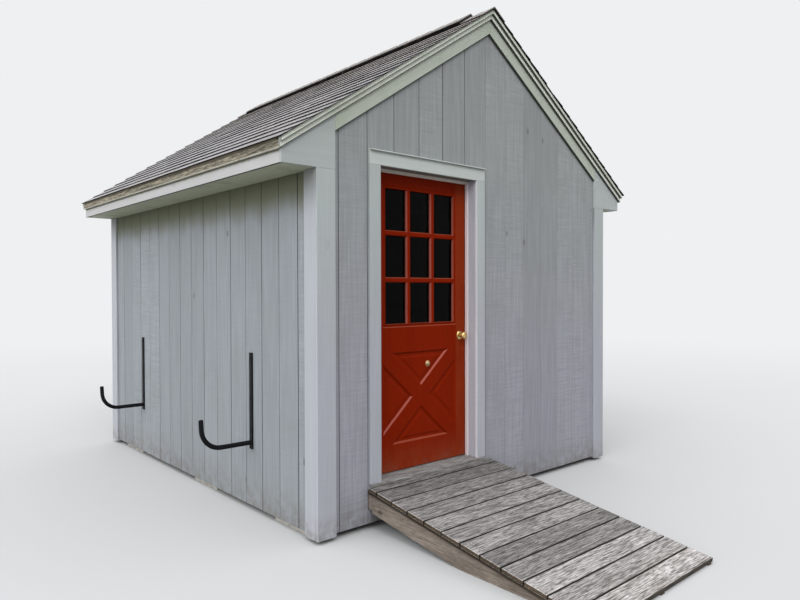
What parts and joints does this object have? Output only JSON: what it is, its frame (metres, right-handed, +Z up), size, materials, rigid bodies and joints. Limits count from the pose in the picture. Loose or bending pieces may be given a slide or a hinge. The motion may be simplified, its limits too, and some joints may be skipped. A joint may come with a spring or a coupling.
{
  "type": "storage shed",
  "caption": "Gabled timber storage shed on blocks with vertical board siding, shingle roof, glazed crossbuck door, boarded ramp and wall rack",
  "frame": {"origin": "centre of the footprint on the ground, under the middle foundation block", "axes": "+X right along the door gable seen from outside, +Y from the door gable to the back, +Z up"},
  "size_m": [3.77, 5.462, 3.6799],
  "materials": {
    "concrete": "cast concrete block, light grey",
    "framing": "sawn softwood framing and sheathing, unfinished",
    "siding_paint": "rough-sawn vertical boards, grey paint",
    "trim_paint": "planed boards, pale grey paint",
    "bare_wood": "weathered bare softwood, grey",
    "shingle": "mineral-faced asphalt shingle, weathered grey-brown",
    "vent_plastic": "black moulded vent strip",
    "door_paint": "barn red gloss paint on wood",
    "glass": "clear window glass",
    "brass": "polished brass, lightly tarnished",
    "steel": "plated steel hinge",
    "rack_steel": "black painted steel",
    "rack_pad": "black foam sleeve over a steel arm"
  },
  "bodies": {
    "shed": {"back_siding": "siding_paint", "back_wall": "framing", "corner_boards": "trim_paint", "door_sill": "bare_wood", "eave_caps": "bare_wood", "eave_returns": "trim_paint", "fascias": "trim_paint", "floor_deck": "framing", "floor_joists": "framing", "floor_rims": "framing", "floor_skids": "framing", "foundation_blocks": "concrete", "front_siding_gable": "siding_paint", "front_siding_sides": "siding_paint", "front_skirt": "siding_paint", "front_wall_gable": "framing", "front_wall_sides": "framing", "head_casing": "trim_paint", "head_jamb": "trim_paint", "jamb_hinge_leaves": "steel", "left_rake_boards": "trim_paint", "left_rake_caps": "trim_paint", "left_shingles": "shingle", "left_siding": "siding_paint", "rack_arms": "rack_pad", "rack_bars": "rack_steel", "rafters": "framing", "ramp_ledger": "bare_wood", "ramp_planks": "bare_wood", "ramp_stringers": "bare_wood", "ridge_board": "framing", "ridge_cap": "shingle", "ridge_vent": "vent_plastic", "right_rake_boards": "trim_paint", "right_rake_caps": "trim_paint", "right_shingles": "shingle", "right_siding": "siding_paint", "roof_deck": "framing", "side_casings": "trim_paint", "side_jambs": "trim_paint", "side_walls": "framing", "soffits": "trim_paint"},
    "door": {"door_leaf": "door_paint", "door_glass": "glass", "knob_rosettes": "brass", "door_boss": "brass", "door_hinge_leaves": "steel"},
    "knob": {"door_knobs": "brass"}
  },
  "joints": [
    {"name": "door_swing", "type": "hinge", "parent": "shed", "child": "door", "pos_m": [-1.0585, -1.701, 1.3], "axis": [0, 0, 1], "range_deg": [0, 100]},
    {"name": "knob_turn", "type": "hinge", "parent": "door", "child": "knob", "pos_m": [-0.207, -1.73, 1.207], "axis": [0, 1, 0], "range_deg": [-60, 60], "stiffness_Nm_per_rad": 0.5}
  ]
}
